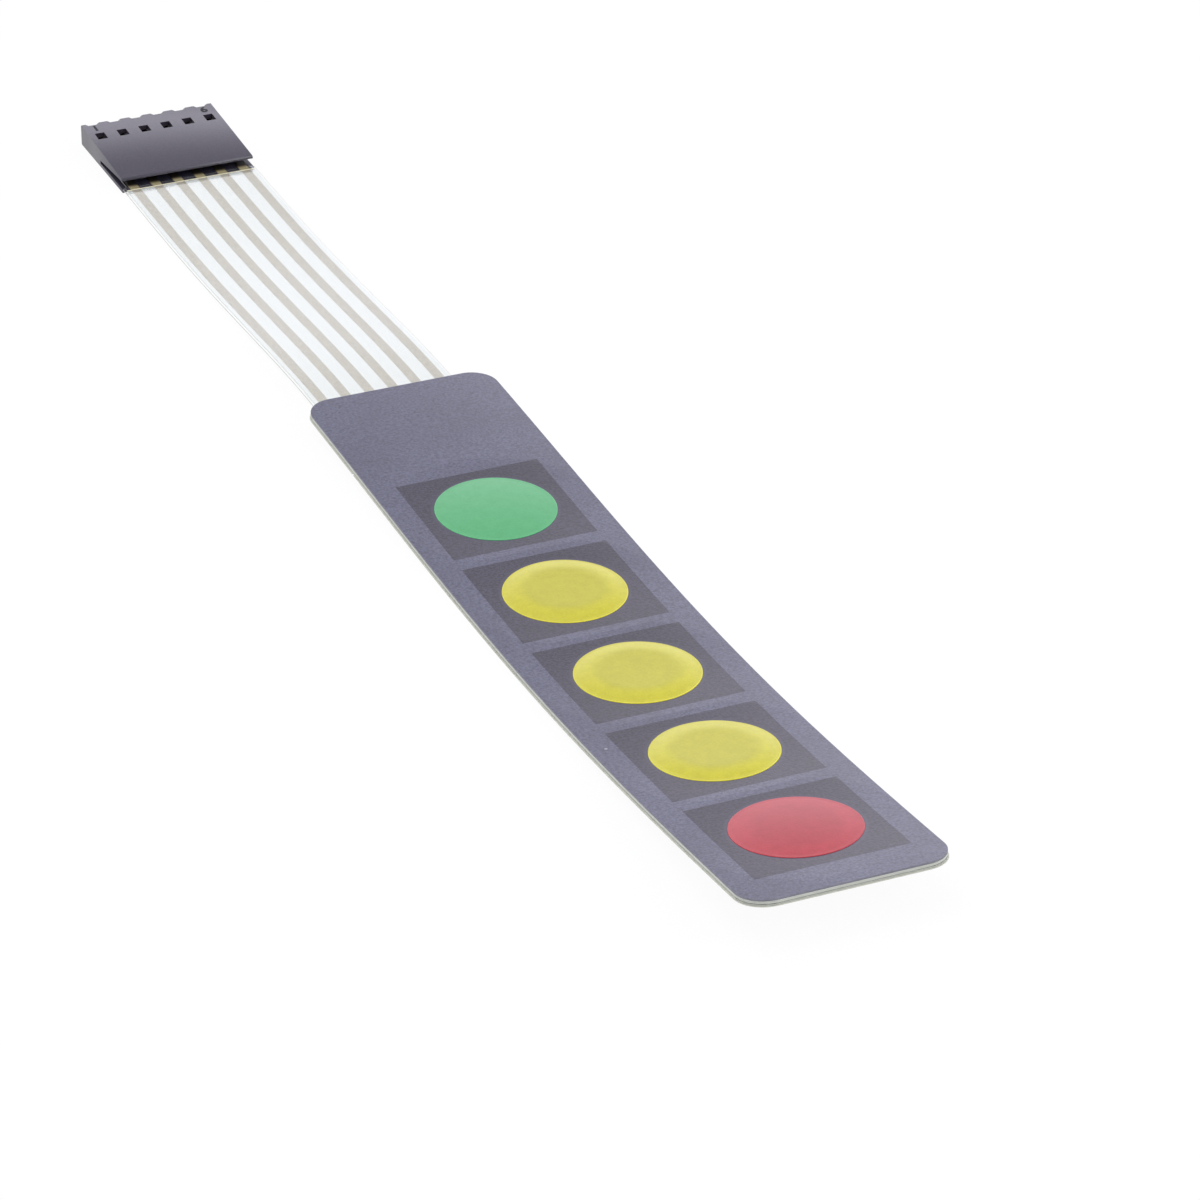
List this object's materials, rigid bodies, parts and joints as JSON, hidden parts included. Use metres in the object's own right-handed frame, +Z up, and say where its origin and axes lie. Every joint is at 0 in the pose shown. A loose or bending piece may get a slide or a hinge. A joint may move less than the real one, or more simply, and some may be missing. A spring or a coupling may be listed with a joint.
{
  "type": "membrane keypad",
  "caption": "Slim stick-on membrane keypad: round domed keys in a row on a bowed grey panel, a clear flat tail with printed tracks, and a moulded receptacle on its end.",
  "frame": {"origin": "below the middle of the whole part, on the surface that it rests on", "axes": "+Y along the strip from the panel's near end to the receptacle's pin face, +Z up out of the keys, +X to the right seen from the near end"},
  "size_m": [0.0202, 0.1778, 0.0048],
  "materials": {
    "overlay_print": "matt printed polyester with a fine velvet grain",
    "red_print": "matt printed polyester, embossed",
    "yellow_print": "matt printed polyester, embossed",
    "green_print": "matt printed polyester, embossed",
    "clear_polyester": "clear glossy film",
    "white_polyester": "white film",
    "clear_adhesive": "clear transfer adhesive",
    "release_paper": "pale siliconised paper",
    "silver_ink": "screen printed silver ink, matt",
    "spring_steel": "bright rolled strip",
    "black_plastic": "moulded, fine satin",
    "tinned_brass": "stamped, tin plated"
  },
  "bodies": {
    "panel": {"graphic_overlay": "overlay_print", "overlay_adhesive": "clear_adhesive", "dome_spacer": "white_polyester", "circuit_film": "clear_polyester", "tail_cover": "clear_polyester", "rear_adhesive": "clear_adhesive", "release_liner": "release_paper", "liner_tab": "release_paper", "snap_dome_red": "spring_steel", "snap_dome_yellow_3": "spring_steel", "snap_dome_yellow_2": "spring_steel", "snap_dome_yellow_1": "spring_steel", "snap_dome_green": "spring_steel", "track_red": "silver_ink", "track_yellow_3": "silver_ink", "track_yellow_2": "silver_ink", "track_yellow_1": "silver_ink", "track_green": "silver_ink", "track_common": "silver_ink", "connector_housing": "black_plastic", "contact_1": "tinned_brass", "contact_2": "tinned_brass", "contact_3": "tinned_brass", "contact_4": "tinned_brass", "contact_5": "tinned_brass", "contact_6": "tinned_brass"},
    "red_key": {"key_red": "red_print"},
    "yellow_3_key": {"key_yellow_3": "yellow_print"},
    "yellow_2_key": {"key_yellow_2": "yellow_print"},
    "yellow_1_key": {"key_yellow_1": "yellow_print"},
    "green_key": {"key_green": "green_print"}
  },
  "joints": [
    {"name": "red_key_press", "type": "slide", "parent": "panel", "child": "red_key", "axis": [0, -0.1072, -0.9942], "range_m": [0, 0.00025], "stiffness_N_per_m": 1000, "deforming": ["snap_dome_red"]},
    {"name": "yellow_3_key_press", "type": "slide", "parent": "panel", "child": "yellow_3_key", "axis": [0, -0.0775, -0.997], "range_m": [0, 0.00025], "stiffness_N_per_m": 1000, "deforming": ["snap_dome_yellow_3"]},
    {"name": "yellow_2_key_press", "type": "slide", "parent": "panel", "child": "yellow_2_key", "axis": [0, -0.0355, -0.9994], "range_m": [0, 0.00025], "stiffness_N_per_m": 1000, "deforming": ["snap_dome_yellow_2"]},
    {"name": "yellow_1_key_press", "type": "slide", "parent": "panel", "child": "yellow_1_key", "axis": [0, 0.0057, -1], "range_m": [0, 0.00025], "stiffness_N_per_m": 1000, "deforming": ["snap_dome_yellow_1"]},
    {"name": "green_key_press", "type": "slide", "parent": "panel", "child": "green_key", "axis": [0, 0.0374, -0.9993], "range_m": [0, 0.00025], "stiffness_N_per_m": 1000, "deforming": ["snap_dome_green"]}
  ]
}
